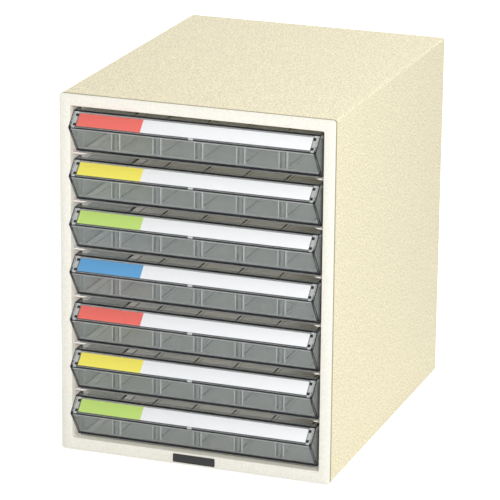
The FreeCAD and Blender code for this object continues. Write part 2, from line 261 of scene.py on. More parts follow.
# Painted light: the frame's face gets a lighter, less yellow copy of the shell's ivory, standing in for the
# stronger light on the face.
frame_enamel_painted_lighter = grained(
    "frame_enamel_painted_lighter", colour=(0.88, 0.857, 0.773), speck=(0.75, 0.72, 0.63), scale=600, variation=0.07,
    specks=0.1, bump=0.35, roughness=0.5
)


def dress(node, material):
    """Puts one material in a CAD node's slot."""
    mesh = nodes[node].data
    mesh.materials.clear()
    mesh.materials.append(material)


drawer_count = 7
numbers = range(1, drawer_count + 1)
for node in ("left_liner", "right_liner"):
    dress(node, inner_enamel_painted_lighter)
for number in numbers:
    for side in ("left", "right"):
        dress("%s_rail_%d" % (side, number), inner_enamel_painted_lighter)


# The front frame: a pressed sheet with a flange round the drawer opening and another behind its rim,
# spot-welded into the shell. Its edges are pressed round, so they catch a line of light.

case_half = 138.5
case_low = 2.0
case_top = 362.0
case_back = 182.5
case_corner = 3.0
face_y = -169.5
opening_half = 127.25
opening_low = 14.5
opening_top = 350.5
opening_corner = 1.5
sheet = 1.0
flange_back = face_y + 8


def rounded_loop(u_low, u_high, v_low, v_high, radii, steps=8):
    """Points round a rectangle with round corners, anticlockwise from the lower left one.

    Each corner is a quarter circle of its own radius: its centre plus the radius times the unit circle.
    """
    centres_u = np.array([u_low, u_high, u_high, u_low])
    centres_v = np.array([v_low, v_low, v_high, v_high])
    inward = np.array([[1, 1], [-1, 1], [-1, -1], [1, -1]])
    radii = np.broadcast_to(np.asarray(radii, float), 4)
    centres = np.stack([centres_u, centres_v], 1) + inward * radii[:, None]
    turn = np.linspace(0, np.pi / 2, steps + 1)
    angle = np.pi + np.arange(4)[:, None] * np.pi / 2 + turn[None, :]
    circle = np.stack([np.cos(angle), np.sin(angle)], -1)
    return (centres[:, None, :] + circle * radii[:, None, None]).reshape(-1, 2)


def quads_between(rows, columns, rows_closed, columns_closed):
    """The four-sided faces of a grid of points that is stored row by row."""
    row = np.arange(rows if rows_closed else rows - 1)
    column = np.arange(columns if columns_closed else columns - 1)
    row, column = np.meshgrid(row, column, indexing="ij")
    next_row = (row + 1) % rows
    next_column = (column + 1) % columns
    corners = (row * columns + column, row * columns + next_column,
               next_row * columns + next_column, next_row * columns + column)
    return np.stack(corners, -1).reshape(-1, 4)


def outward(points, faces):
    """The blocks of faces, all turned round where the volume they enclose comes out negative.

    That volume is a sixth of the sum of p0 . (p1 x p2) over triangles fanned out from each first corner.
    """
    points = points - points.mean(0)
    volume = 0.0
    for block in faces:
        corners = points[block]
        volume += np.einsum("ij,ikj->", corners[:, 0], np.cross(corners[:, 1:-1], corners[:, 2:]))
    return [block[:, ::-1] for block in faces] if volume < 0 else faces


def piece(name, parts, material, body, marks=None, smooth_below=35):
    """A mesh object in metres, out of closed parts in millimetres, each of points and blocks of faces.

    Marks, where given, say for every point how much painted highlight (up to 1) or painted shade (down to
    -1) it carries.
    """
    faces = []
    count = 0
    for points, blocks in parts:
        for block in outward(points, blocks):
            faces += (block + count).tolist()
        count += len(points)
    mesh = bpy.data.meshes.new(name)
    mesh.from_pydata((np.concatenate([points for points, blocks in parts]) / 1000).tolist(), [], faces)
    if marks is not None:
        layer = mesh.attributes.new("painted_light_mark", "FLOAT", "POINT")
        layer.data.foreach_set("value", np.concatenate(marks).astype(np.float32))
    welded = bmesh.new()
    welded.from_mesh(mesh)
    bmesh.ops.remove_doubles(welded, verts=welded.verts, dist=2e-6)
    welded.to_mesh(mesh)
    welded.free()
    mesh.polygons.foreach_set("use_smooth", np.ones(len(mesh.polygons), bool))
    mesh.set_sharp_from_angle(angle=math.radians(smooth_below))
    mesh.materials.append(material)
    thing = bpy.data.objects.new(name, mesh)
    bpy.context.scene.collection.objects.link(thing)
    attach(thing, body)
    return thing


def ring_of_loops(loops, closed):
    """Loops of equal count, joined in order: a surface over the place along a loop and the loop's number."""
    loops = np.stack(loops)
    faces = quads_between(loops.shape[0], loops.shape[1], closed, True)
    return loops.reshape(-1, 3), [faces]


def upright(flat, y):
    """A flat outline stood up across the cabinet: (u, v) becomes (u, y, v)."""
    return np.stack([flat[:, 0], np.full(len(flat), y), flat[:, 1]], 1)


def facing_loop(inset, y, radius):
    """A loop inside the case's outline, in a plane across the cabinet."""
    low = case_low + inset
    high = case_top - inset
    return upright(rounded_loop(-case_half + inset, case_half - inset, low, high, radius), y)


def opening_loop(outset, y, radius):
    """A loop round the drawer opening, in a plane across the cabinet."""
    low = opening_low - outset
    high = opening_top + outset
    return upright(rounded_loop(-opening_half - outset, opening_half + outset, low, high, radius), y)


frame_loops = [
    facing_loop(0.0, face_y + sheet, case_corner),
    facing_loop(0.0, face_y + 0.45, case_corner),
    facing_loop(0.12, face_y + 0.15, 2.9),
    facing_loop(0.4, face_y, 2.6),
    opening_loop(0.6, face_y, 2.1),
    opening_loop(0.2, face_y + 0.15, 1.7),
    opening_loop(0.0, face_y + 0.6, opening_corner),
    opening_loop(0.0, flange_back, opening_corner),
    opening_loop(sheet, flange_back, opening_corner + sheet),
    opening_loop(sheet, face_y + sheet, opening_corner + sheet),
    facing_loop(2 * sheet, face_y + sheet, case_corner - sheet),
    facing_loop(2 * sheet, flange_back, case_corner - sheet),
    facing_loop(sheet, flange_back, case_corner),
    facing_loop(sheet, face_y + sheet, case_corner),
]
frame_piece = piece(
    "front_frame_pressed", [ring_of_loops(frame_loops, True)], frame_enamel_painted_lighter, "cabinet"
)
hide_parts("front_frame")


# The shell: top and both sides bent from one sheet, turned in underneath. Its rounded front edge is hidden
# behind the frame's rim with a hair's gap, which leaves a fine dark line round the face; its first few
# millimetres are also painted dark olive as painted shade, which widens that line.

def sheet_section(path, thickness):
    """Both faces of a folded sheet as one closed outline, from the path of its outer face (u, v, radius).

    The inner face is the same path shifted square to each run by the thickness, with smaller corners.
    """
    path = np.array(path, float)
    runs = np.diff(path[:, :2], axis=0)
    runs /= np.linalg.norm(runs, axis=1)[:, None]
    squares = np.stack([-runs[:, 1], runs[:, 0]], 1)
    miter = np.concatenate([squares[:1], squares]) + np.concatenate([squares, squares[-1:]])
    inner = path.copy()
    inner[:, :2] += miter * (2 * thickness / (miter ** 2).sum(1))[:, None]
    inner[:, 2] = np.maximum(inner[:, 2] - thickness, 0)
    return rounded_path(np.concatenate([path, inner[::-1]]), True)


def rounded_path(corners, closed, steps=6):
    """Points along straight runs between corners (u, v, radius), each corner an arc tangent to both runs."""
    corners = np.array(corners, float)
    count = len(corners)
    points = []
    for index in range(count):
        u, v, radius = corners[index]
        here = np.array([u, v])
        end = not closed and index in (0, count - 1)
        if radius <= 0 or end:
            points.append(here[None, :])
            continue
        back = corners[index - 1, :2] - here
        ahead = corners[(index + 1) % count, :2] - here
        back /= np.linalg.norm(back)
        ahead /= np.linalg.norm(ahead)
        half = math.acos(np.clip(back @ ahead, -1, 1)) / 2
        middle = (back + ahead) / np.linalg.norm(back + ahead)
        centre = here + middle * radius / math.sin(half)
        start = here + back * radius / math.tan(half) - centre
        finish = here + ahead * radius / math.tan(half) - centre
        share = np.linspace(0, 1, steps + 1)[:, None]
        sweep = math.pi - 2 * half
        arc = (np.sin((1 - share) * sweep) * start + np.sin(share * sweep) * finish) / math.sin(sweep)
        points.append(centre + arc)
    return np.concatenate(points)


def inward_steps(outline):
    """The outline without repeated points, and at each point the step that moves its two runs in by 1 mm.

    The step is the sum of both runs' inward normals, times two, over that sum's squared length.
    """
    ahead = np.roll(outline, -1, 0) - outline
    outline = outline[np.linalg.norm(ahead, axis=1) > 1e-9]
    ahead = np.roll(outline, -1, 0) - outline
    ahead /= np.linalg.norm(ahead, axis=1)[:, None]
    behind = np.roll(ahead, 1, 0)
    following = np.roll(outline, -1, 0)
    area = 0.5 * np.sum(outline[:, 0] * following[:, 1] - outline[:, 1] * following[:, 0])
    side = 1 if area > 0 else -1
    square_ahead = np.stack([-ahead[:, 1], ahead[:, 0]], 1) * side
    square_behind = np.stack([-behind[:, 1], behind[:, 0]], 1) * side
    miter = square_ahead + square_behind
    return outline, miter * (2 / np.maximum((miter ** 2).sum(1), 0.5))[:, None]


bar_rings = 8


def bar(outline, low, high, edge, axis):
    """A section carried straight along an axis, with its two end faces rounded off by a small radius.

    Near each end the outline moves in by edge times one minus the sine of the turn.
    """
    outline, inward = inward_steps(np.asarray(outline, float))
    turn = np.linspace(0, np.pi / 2, bar_rings // 2)
    insets = np.concatenate([edge * (1 - np.sin(turn)), edge * (1 - np.cos(turn))])
    places = np.concatenate([low + edge * (1 - np.cos(turn)), high - edge * (1 - np.sin(turn))])
    flat = outline[None, :, :] + inward[None, :, :] * insets[:, None, None]
    along = np.broadcast_to(places[:, None], flat.shape[:2])
    columns = {"X": (along, flat[..., 0], flat[..., 1]),
               "Y": (flat[..., 0], along, flat[..., 1]),
               "Z": (flat[..., 0], flat[..., 1], along)}[axis]
    rings = np.stack(columns, -1)
    count = rings.shape[1]
    around = quads_between(rings.shape[0], count, False, True)
    last = (rings.shape[0] - 1) * count
    return rings.reshape(-1, 3), [around, np.arange(count)[None, ::-1], last + np.arange(count)[None, :]]


def build_split_group():
    """A second colour before a place along a coordinate.

    Its share is the strength times one minus (along - place) / fade, kept between nothing and all.
    """
    group, entry, leave = node_group(
        "colour_split",
        {"Color": "Color", "Second": "Color", "Along": "Float", "Place": "Float", "Fade": "Float",
         "Strength": "Float"},
        {"Color": "Color"},
    )
    past = calculated(group, "SUBTRACT", entry["Along"], entry["Place"])
    turns = calculated(group, "DIVIDE", past, entry["Fade"])
    share = calculated(group, "MULTIPLY", ranged(group, turns, 0, 1, 1, 0), entry["Strength"])
    colour = mixed(group, "RGBA", share, entry["Color"], entry["Second"])
    group.links.new(colour, leave["Color"])
    return group


colour_split = build_split_group()


def second_colour(material, colour, axis, place, fade, strength):
    """Gives a grained finish a second colour before a place along X, Y or Z, in metres."""
    tree = material.node_tree
    finish = tree.nodes["Principled BSDF"]
    first = finish.inputs["Base Color"].links[0].from_socket
    parted = tree.nodes.new("ShaderNodeSeparateXYZ")
    tree.links.new(object_place(tree), parted.inputs[0])
    split = tree.nodes.new("ShaderNodeGroup")
    split.node_tree = colour_split
    tree.links.new(first, split.inputs["Color"])
    split.inputs["Second"].default_value = colour + (1,)
    tree.links.new(parted.outputs[axis], split.inputs["Along"])
    for label, value in (("Place", place), ("Fade", fade), ("Strength", strength)):
        split.inputs[label].default_value = value
    tree.links.new(split.outputs["Color"], finish.inputs["Base Color"])


shell_enamel = grained(
    "shell_enamel", colour=(0.88, 0.81, 0.585), speck=(0.66, 0.6, 0.42), scale=600, variation=0.36,
    specks=0.3, bump=0.4, roughness=0.65, gloss=0.3
)
# Painted shade: the shell's first few millimetres behind the face are painted dark olive, the shade in the
# seam behind the frame's rim.
painted_seam_shade = (0.33, 0.29, 0.18)
painted_seam_shade_end = (face_y + 3.4) / 1000
second_colour(shell_enamel, painted_seam_shade, "Y", place=painted_seam_shade_end, fade=0.0012, strength=0.95)
seam_gap = 0.1
shell_edge = 0.42
shell_flange = 30
shell_path = [
    (-case_half + shell_flange, case_low, 0),
    (-case_half, case_low, case_corner),
    (-case_half, case_top, case_corner),
    (case_half, case_top, case_corner),
    (case_half, case_low, case_corner),
    (case_half - shell_flange, case_low, 0),
]
shell_section = sheet_section(shell_path[::-1], sheet)
shell_piece = piece(
    "outer_shell_bent",
    [bar(shell_section, face_y + sheet + seam_gap, case_back, shell_edge, "Y")],
    shell_enamel,
    "cabinet",
)
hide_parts("outer_shell")
for node in ("back_panel", "bottom_panel"):
    dress(node, shell_enamel)


# The smoke plastic of trays and drawer fronts: grey see-through polystyrene, moulded and glossy. Each
# wall has two faces that hold back a part of the light. Its edges, rims, creases, slots and ribs carry
# painted highlights in a pale grey and painted shade in near black.

def build_painted_edge_light_group():
    """The colour and the held-back light of a see-through moulding, with painted highlights and painted
    shade from its marks.

    Both go from the wall's value to the painted highlight's value as the mark goes to 1, and to the painted
    shade's towards -1.
    """
    group, entry, leave = node_group(
        "painted_edge_light",
        {"Mark": "Float", "Wall": "Color", "Pale": "Color", "Dark": "Color", "Wall Held": "Float",
         "Pale Held": "Float", "Dark Held": "Float"},
        {"Color": "Color", "Held": "Float"},
    )
    colour = entry["Wall"]
    held = entry["Wall Held"]
    for side, far in (("Pale", 1), ("Dark", -1)):
        share = ranged(group, entry["Mark"], 0, far)
        colour = mixed(group, "RGBA", share, colour, entry[side])
        held = mixed(group, "FLOAT", share, held, entry[side + " Held"])
    group.links.new(colour, leave["Color"])
    group.links.new(held, leave["Held"])
    return group


painted_edge_light = build_painted_edge_light_group()


def see_through(name, wall, pale, dark, wall_held, pale_held, dark_held, grazing, roughness, gloss):
    """See-through plastic: alpha is what one face holds back, and more where the eye grazes it.

    Rays that don't come from the camera are hardly held back, so the lamps light what is inside.
    """
    material = bpy.data.materials.new(name)
    material.use_nodes = True
    tree = material.node_tree
    plastic = tree.nodes["Principled BSDF"]
    plastic.inputs["Roughness"].default_value = roughness
    plastic.inputs["Specular IOR Level"].default_value = gloss
    mark = tree.nodes.new("ShaderNodeAttribute")
    mark.attribute_name = "painted_light_mark"
    edges = tree.nodes.new("ShaderNodeGroup")
    edges.node_tree = painted_edge_light
    tree.links.new(mark.outputs["Fac"], edges.inputs["Mark"])
    for label, colour, held in (
        ("Wall", wall, wall_held),
        ("Pale", pale, pale_held),
        ("Dark", dark, dark_held),
    ):
        edges.inputs[label].default_value = colour + (1,)
        edges.inputs[label + " Held"].default_value = held
    tree.links.new(edges.outputs["Color"], plastic.inputs["Base Color"])
    facing = tree.nodes.new("ShaderNodeLayerWeight")
    facing.inputs["Blend"].default_value = 0.35
    seen = calculated(tree, "MULTIPLY_ADD", facing.outputs["Fresnel"], grazing, edges.outputs["Held"])
    seen.node.use_clamp = True
    path = tree.nodes.new("ShaderNodeLightPath")
    share = ranged(tree, path.outputs["Is Camera Ray"], 0, 1, 0.04, 1)
    tree.links.new(calculated(tree, "MULTIPLY", seen, share), plastic.inputs["Alpha"])
    return material


# Painted highlight and painted shade: the pale grey and the near black that the marks paint onto the
# plastic.
painted_highlight_grey = (0.74, 0.76, 0.76)
painted_shade_black = (0.014, 0.014, 0.018)
front_smoke = see_through(
    "front_smoke", wall=(0.22, 0.25, 0.24), pale=painted_highlight_grey, dark=painted_shade_black, wall_held=0.07,
    pale_held=0.8, dark_held=1.0, grazing=0.4, roughness=0.2, gloss=0.2
)
tray_smoke = see_through(
    "tray_smoke", wall=(0.36, 0.385, 0.39), pale=painted_highlight_grey, dark=painted_shade_black, wall_held=0.16,
    pale_held=1.0, dark_held=1.0, grazing=0.9, roughness=0.2, gloss=0.4
)
bpy.context.scene.cycles.transparent_max_bounces = 32


# The drawer fronts: one hollow moulding each, shaped like a lying V. The upper slope is a seat for the
# title card, the lower slope is a window with a raised border, and a cheek closes each end.

pitch = 48.0
front_half = opening_half - 3.25
wall = 2.0
nose_y = face_y - 13.0
brow_y = face_y + 1.5
chin_y = face_y + 7.0
brow_z = pitch - 4.0
nose_z = brow_z - 14.0
chin_z = 2.2
brow_radius = 1.6
nose_radius = 2.6
flap_back = chin_y + wall
seat_length = math.hypot(brow_y - nose_y, brow_z - nose_z)
window_length = math.hypot(chin_y - nose_y, chin_z - nose_z)
seat_depth = 1.0
seat_side = 6.0
seat_end = 1.1
nose_band = 1.2
window_depth = 0.8
window_top = 2.6
window_bottom = 2.0
window_side = 2.2
chin_band = 2.8
chin_step = 1.8
card_low = 3.3
cheek = 2.8
slot_depth = 1.8
slot_reach = 1.45
slot_near = front_half - 6.2
slot_far = front_half - 3.75
hook_places = (4.5, seat_length - 5.0)
catch_half = 2.5
seat_along = np.array([brow_y - nose_y, brow_z - nose_z]) / seat_length
seat_square = np.array([-seat_along[1], seat_along[0]])


def drawer_floor(number):
    """The height of the rails that carry a drawer. Drawer 1 is the top one."""
    return opening_low + (drawer_count - number) * pitch


def from_nose(flat, floor):
    """Points given by their distance from the nose up the seat and their height above it."""
    return np.array([nose_y, floor + nose_z]) + flat[:, :1] * seat_along + flat[:, 1:] * seat_square


def arc_path(corners, steps):
    """Points, outward normals and distances along an open path whose corners (u, v, radius) are rounded."""
    flat = rounded_path(corners, False, steps)
    ahead = np.diff(flat, axis=0)
    ahead /= np.linalg.norm(ahead, axis=1)[:, None]
    mean = np.concatenate([ahead[:1], ahead[:-1] + ahead[1:], ahead[-1:]])
    mean /= np.linalg.norm(mean, axis=1)[:, None]
    normals = np.stack([mean[:, 1], -mean[:, 0]], 1)
    distance = np.concatenate([[0], np.cumsum(np.linalg.norm(np.diff(flat, axis=0), axis=1))])
    return flat, normals, distance


def resampled(flat, normals, distance, stations):
    """The path read at chosen distances along it."""
    points = np.stack([np.interp(stations, distance, flat[:, i]) for i in (0, 1)], 1)
    square = np.stack([np.interp(stations, distance, normals[:, i]) for i in (0, 1)], 1)
    return points, square / np.linalg.norm(square, axis=1)[:, None]


def hollow(along, across, along_low, along_high, across_half, radius, soft):
    """How far inside a rounded rectangle each point lies, as a soft step from 0 outside to 1 inside.

    The signed distance to the rectangle is divided by the softness and passed through 3t^2 - 2t^3.
    """
    middle = (along_low + along_high) / 2
    half = (along_high - along_low) / 2
    du = np.abs(along - middle) - (half - radius)
    dv = np.abs(across) - (across_half - radius)
    outside = np.hypot(np.maximum(du, 0), np.maximum(dv, 0)) + np.minimum(np.maximum(du, dv), 0) - radius
    t = np.clip(0.5 - outside / soft, 0, 1)
    return t * t * (3 - 2 * t)


def near(edges, low, high, spread=0.4, count=5, coarse=24):
    """Stations between two ends: evenly spaced ones, and close ones on both sides of each edge."""
    stations = [np.linspace(low, high, coarse)]
    for edge in edges:
        stations.append(np.linspace(edge - spread, edge + spread, count))
    stations = np.unique(np.round(np.concatenate(stations), 4))
    return stations[(stations >= low) & (stations <= high)]


def painted_front_light(along, across, brow_place, nose_place, total):
    """The skin's painted light: painted shade on brow, nose, chin and below the card, painted highlights on
    the borders of seat and window.
    """
    seat_low = brow_place + brow_radius
    seat_high = nose_place - seat_end
    card_end = nose_place - card_low
    nose_dark = total - window_length + nose_band
    window_low = total - window_length + window_top
    chin_edge = total - chin_band
    bands = [
        (0, -0.3), (brow_place - 1.2, -0.3), (brow_place - 0.8, -1), (seat_low - 0.1, -1),
        (seat_low + 0.1, 0), (card_end - 0.1, 0), (card_end + 0.1, -0.7), (seat_high + 0.1, -1),
        (nose_dark - 0.1, -1), (nose_dark + 0.1, 0.6), (window_low - 0.1, 0.6), (window_low + 0.2, 0),
        (chin_edge - chin_step - 0.2, 0), (chin_edge - chin_step + 0.2, 0.4), (chin_edge - 0.1, 0.4),
        (chin_edge + 0.1, -1), (total, -1),
    ]
    mark = np.interp(along, *np.array(bands, float).T)
    off_seat = np.abs(across) > front_half - seat_side
    mark = np.where(off_seat & (along > seat_low - 0.3) & (along < seat_high + 0.3), 0.8, mark)
    off_window = np.abs(across) > front_half - window_side
    return np.where(off_window & (along > nose_dark) & (along < chin_edge), 0.4, mark)


def drawer_front_parts(floor):
    """The skin of a drawer front over its path and over the drawer's width, with the cheeks and the catch.

    The skin is the folded path plus a relief along its normals: minus the depth of each recess times
    The slots and the cheeks carry painted shade, and the catch a painted highlight with painted shade at its
    ends.
    """
    corners = [
        (flap_back, floor + brow_z, 0),
        (brow_y, floor + brow_z, brow_radius),
        (nose_y, floor + nose_z, nose_radius),
        (chin_y, floor + chin_z, 0),
    ]
    flat, normals, distance = arc_path(corners, 8)
    total = distance[-1]
    brow_place = flap_back - brow_y
    nose_place = brow_place + seat_length
    window_start = total - window_length
    seat_low = brow_place + brow_radius
    seat_high = nose_place - seat_end
    window_low = window_start + window_top
    window_high = total - window_bottom
    chin_edge = total - chin_band
    slot_places = [nose_place - place for place in hook_places]
    edges = [brow_place - 1, seat_low, nose_place - card_low, seat_high, window_start + nose_band,
             window_low, window_high, chin_edge, chin_edge - chin_step]
    for place in slot_places:
        edges += [place - slot_reach, place + slot_reach]
    stations = np.unique(np.concatenate([near(edges, 0, total, coarse=30), distance]))
    skin_half = front_half - 0.9
    window_half = front_half - window_side
    seat_half = front_half - seat_side
    side_edges = np.array([window_half, seat_half, slot_near, slot_far])
    side_edges = np.concatenate([-side_edges, side_edges])
    widths = near(side_edges, -skin_half, skin_half, coarse=20)
    points, square = resampled(flat, normals, distance, stations)
    along, across = np.meshgrid(stations, widths, indexing="ij")
    seat = hollow(along, across, seat_low, seat_high, seat_half, 0.6, 0.5)
    window = hollow(along, across, window_low, window_high, window_half, 1.0, 0.5)
    slots = np.zeros(along.shape)
    slot_middle = (slot_near + slot_far) / 2
    slot_half = (slot_far - slot_near) / 2
    for place in slot_places:
        beside = np.abs(across) - slot_middle
        slots += hollow(along, beside, place - slot_reach, place + slot_reach, slot_half, 0.3, 0.3)
    relief = -seat_depth * seat - window_depth * window - slot_depth * slots
    relief = np.maximum(relief, 0.15 - wall)
    skin = points[:, None, :] + square[:, None, :] * relief[:, :, None]
    inner = np.broadcast_to((points - square * wall)[:, None, :], skin.shape)
    skin = np.concatenate([across[..., None], skin], -1)
    inner = np.concatenate([across[..., None], inner], -1)
    rows, columns = along.shape
    top = quads_between(rows, columns, False, False)
    border = np.concatenate([
        np.arange(columns),
        np.arange(1, rows) * columns + columns - 1,
        (rows - 1) * columns + np.arange(columns - 2, -1, -1),
        np.arange(rows - 2, 0, -1) * columns,
    ])
    ahead = np.roll(border, -1)
    edge_faces = np.stack([ahead, border, border + rows * columns, ahead + rows * columns], 1)
    points = np.concatenate([skin.reshape(-1, 3), inner.reshape(-1, 3)])
    parts = [(points, [top, top[:, ::-1] + rows * columns, edge_faces])]
    # Painted shade: the slots are painted near black, and the inner face takes half of the skin's painted
    # light.
    mark = painted_front_light(along, across, brow_place, nose_place, total) * (1 - slots) - slots
    marks = [np.concatenate([mark.ravel(), 0.5 * mark.ravel()])]
    cheek_outline = rounded_path([
        (flap_back + 5, floor + brow_z, 0.5),
        (brow_y, floor + brow_z, 0.8),
        (nose_y, floor + nose_z, 1.2),
        (chin_y, floor + chin_z, 0.5),
        (flap_back + 5, floor + chin_z, 0.5),
    ], True, 4)
    for low in (-front_half, front_half - cheek):
        part = bar(cheek_outline, low, low + cheek, 0.3, "X")
        parts.append(part)
        # Painted light on the cheeks: the rim painted near black as shade, the outer face a little dark, the
        # inner face a touch pale as a highlight.
        cheek_painted_light = [0.2, -1, -1, -1, -1, -1, -1, -0.3]
        marks.append(np.repeat(cheek_painted_light if low > 0 else cheek_painted_light[::-1], len(part[0]) // bar_rings))
    catch = rounded_path([
        (0.5, -seat_depth, 0),
        (1.1, -seat_depth, 0),
        (1.1, 0.3, 0),
        (2.2, 0.3, 0.15),
        (2.2, 0.9, 0.2),
        (0.5, 0.9, 0.3),
    ], True, 3)
    part = bar(from_nose(catch, floor), -catch_half, catch_half, 0.2, "X")
    parts.append(part)
    # Painted light on the catch: its face painted pale as a highlight, its ends near black as shade.
    marks.append(np.repeat([-1, -1, 0.9, 0.9, 0.9, 0.9, -1, -1], len(part[0]) // bar_rings))
    return parts, marks


for number in numbers:
    parts, marks = drawer_front_parts(drawer_floor(number))
    moulding = piece(
        "drawer_front_moulding_%d" % number,
        parts,
        front_smoke,
        "drawer_%d" % number,
        marks,
    )
    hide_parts("drawer_front_%d" % number)


# The trays: moulded boxes for A4 paper that slide on the rails by their floors. Pairs of upright ribs
# at front and back, with a groove across the floor between them, take dividers. A lug on each side
# stops the drawer behind the frame.

tray_half = front_half - 2.0
tray_front = chin_y
tray_back = 170.4
tray_low = 0.3
side_top = 40.0
front_wall_top = 42.0
front_end = 2.6
ear_end = 8.4
lip = 5.0
slot_pitch = 42.2
slot_middles = slot_pitch * np.arange(-2, 3)
slot_gap = 4.2
groove_depth = 0.6
rib_width = 2.4
rib_bite = 0.4
rib_reach = 5.0
travel = 265
lug_reach = 8
lug_nose = 3
lug_length = 12
lug_lift = 4
lug_height = 10

painted_floor_line = tray_half - 11.0
groove_edges = np.concatenate([
    slot_middles - slot_gap / 2, slot_middles + slot_gap / 2, [-painted_floor_line, painted_floor_line]
])
across_floor = near(groove_edges, -tray_half + lip, tray_half - lip, spread=0.8, count=5, coarse=12)

# Rows of points are close together where the front wall's height ends and where the rim begins.
floor_front = tray_front + lip
floor_back = tray_back - lip
along_floor = np.concatenate([
    floor_front + np.array([0, 0.3, 1.1, 1.6, 7.4, 7.7]),
    np.linspace(floor_front + 30, floor_back - 30, 6),
    floor_back - np.array([0.3, 0]),
])


def tray_loop(inset, front_radius, back_radius, side_z, front_z, reach):
    """A loop round the tray at an inset: runs with the floor's stations, and a quarter circle per corner.

    It is higher along the front wall, and the rim's reach is added outwards along the sides.
    """
    half = tray_half - inset
    low = tray_front + inset
    high = tray_back - inset
    x_front = across_floor * (half - front_radius) / across_floor[-1]
    x_back = across_floor[::-1] * (half - back_radius) / across_floor[-1]
    y_side = np.interp(along_floor, [floor_front, floor_back], [low + front_radius, high - back_radius])
    turn = np.linspace(0, np.pi / 2, 7)[1:-1]

    def corner(side, y, radius, start):
        middle = np.array([side * (half - radius), y])
        return middle + radius * np.stack([np.cos(start + turn), np.sin(start + turn)], 1)

    flat = np.concatenate([
        np.stack([x_front, np.full(len(x_front), low)], 1),
        corner(1, low + front_radius, front_radius, -np.pi / 2),
        np.stack([np.full(len(y_side), half), y_side], 1),
        corner(1, high - back_radius, back_radius, 0),
        np.stack([x_back, np.full(len(x_back), high)], 1),
        corner(-1, high - back_radius, back_radius, np.pi / 2),
        np.stack([np.full(len(y_side), -half), y_side[::-1]], 1),
        corner(-1, low + front_radius, front_radius, np.pi),
    ])
    x, y = flat[:, 0], flat[:, 1]
    sideways = np.clip((np.abs(x) - half + back_radius) / max(back_radius, 0.1), 0, 1)
    behind_ears = np.clip((y - tray_front - ear_end) / 0.2, 0, 1)
    x = x + np.sign(x) * reach * sideways * behind_ears
    at_front = np.clip((tray_front + front_end - y) / 0.5, 0, 1)
    return np.stack([x, y, side_z + (front_z - side_z) * at_front], 1)


def edged_loop(u_low, u_high, v_low, v_high, radius, margin):
    """A rounded rectangle with two more points on each side, a margin in from its corners.

    The marks that come with it are painted highlights on the corners and a little painted shade on the added
    points.
    """
    arcs = rounded_loop(u_low, u_high, v_low, v_high, radius, 3).reshape(4, 4, 2)
    start = arcs[:, -1]
    run = np.roll(arcs, -1, 0)[:, 0] - start
    length = np.linalg.norm(run, axis=1, keepdims=True)
    step = run / length * np.minimum(margin, 0.4 * length)
    added = np.stack([start + step, start + run - step], 1)
    return np.concatenate([arcs, added], 1).reshape(-1, 2), np.tile([1, 1, 1, 1, -0.8, -0.8], 4)


